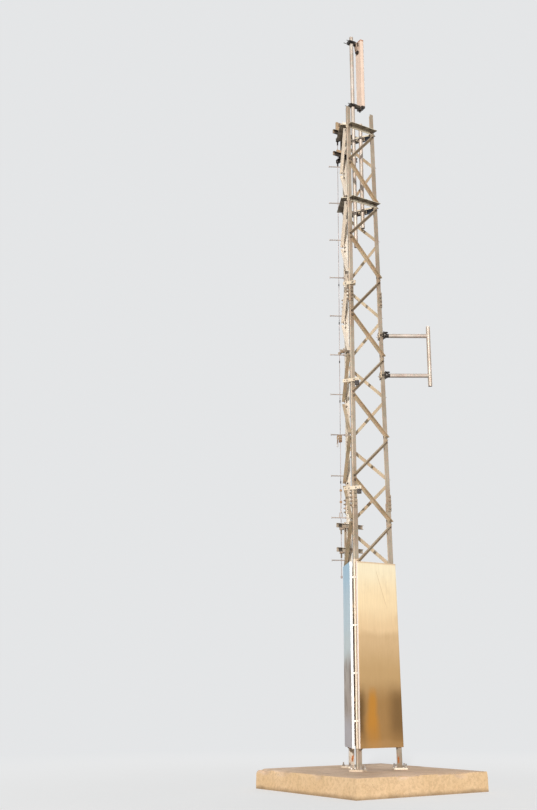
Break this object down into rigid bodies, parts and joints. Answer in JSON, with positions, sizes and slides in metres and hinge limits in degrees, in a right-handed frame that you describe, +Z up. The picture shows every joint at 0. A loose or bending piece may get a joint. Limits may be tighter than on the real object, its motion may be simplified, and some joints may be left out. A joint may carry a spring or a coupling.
{
  "type": "three-legged lattice antenna tower",
  "caption": "Free-standing three-legged lattice tower of bent V legs and diagonal angles on a square concrete pad, with climb shields, step bolts, safety cable, masts and a panel antenna.",
  "frame": {"origin": "middle of the concrete pad's underside", "axes": "+Z up the tower's axis; the front face of the lattice looks along -Y and the pad's edges lie along X and Y"},
  "size_m": [2.19, 2.19, 11.388],
  "materials": {
    "concrete": "cast concrete, dusty",
    "galvanised_steel": "weathered hot-dip zinc",
    "shield_sheet": "folded zinc-coated sheet",
    "dark_steel": "dull dark steel",
    "mast_tube": "zinc-coated tube",
    "bright_fixings": "zinc-coated fixings",
    "radome": "pale satin shell",
    "black_plastic": "matt black",
    "cable_wire": "wire rope",
    "orange_metal": "worn orange-brown metal"
  },
  "bodies": {
    "root": {"antenna_connectors": "black_plastic", "antenna_lower_bracket": "dark_steel", "antenna_mast": "mast_tube", "antenna_tilt_arm": "dark_steel", "antenna_upper_bracket": "dark_steel", "back_climb_shield": "shield_sheet", "back_face_bracing": "galvanised_steel", "back_leg_lower": "galvanised_steel", "back_leg_middle": "galvanised_steel", "back_leg_upper": "galvanised_steel", "back_step_bolts": "bright_fixings", "cable_bottom_bracket": "galvanised_steel", "cable_guide": "galvanised_steel", "cable_hangers": "galvanised_steel", "cable_tensioner": "bright_fixings", "cable_top_bracket": "dark_steel", "concrete_pad": "concrete", "fall_arrest_grab": "orange_metal", "foot_plates": "galvanised_steel", "front_climb_shield": "shield_sheet", "front_face_bracing": "galvanised_steel", "front_leg_lower": "galvanised_steel", "front_leg_middle": "galvanised_steel", "front_leg_upper": "galvanised_steel", "left_climb_shield": "shield_sheet", "left_face_bracing": "galvanised_steel", "left_step_bolts": "bright_fixings", "lower_mast_frame": "galvanised_steel", "lower_mast_plate": "dark_steel", "lower_side_arm": "mast_tube", "lower_splice_plates": "galvanised_steel", "mast_saddles": "dark_steel", "mast_u_bolts": "bright_fixings", "panel_antenna": "radome", "right_leg_lower": "galvanised_steel", "right_leg_middle": "galvanised_steel", "right_leg_upper": "galvanised_steel", "safety_cable": "cable_wire", "side_arm_clamps": "galvanised_steel", "side_arm_pipe": "mast_tube", "spare_mast": "mast_tube", "upper_mast_frame": "galvanised_steel", "upper_mast_plate": "dark_steel", "upper_side_arm": "mast_tube", "upper_splice_plates": "galvanised_steel"}
  },
  "joints": []
}
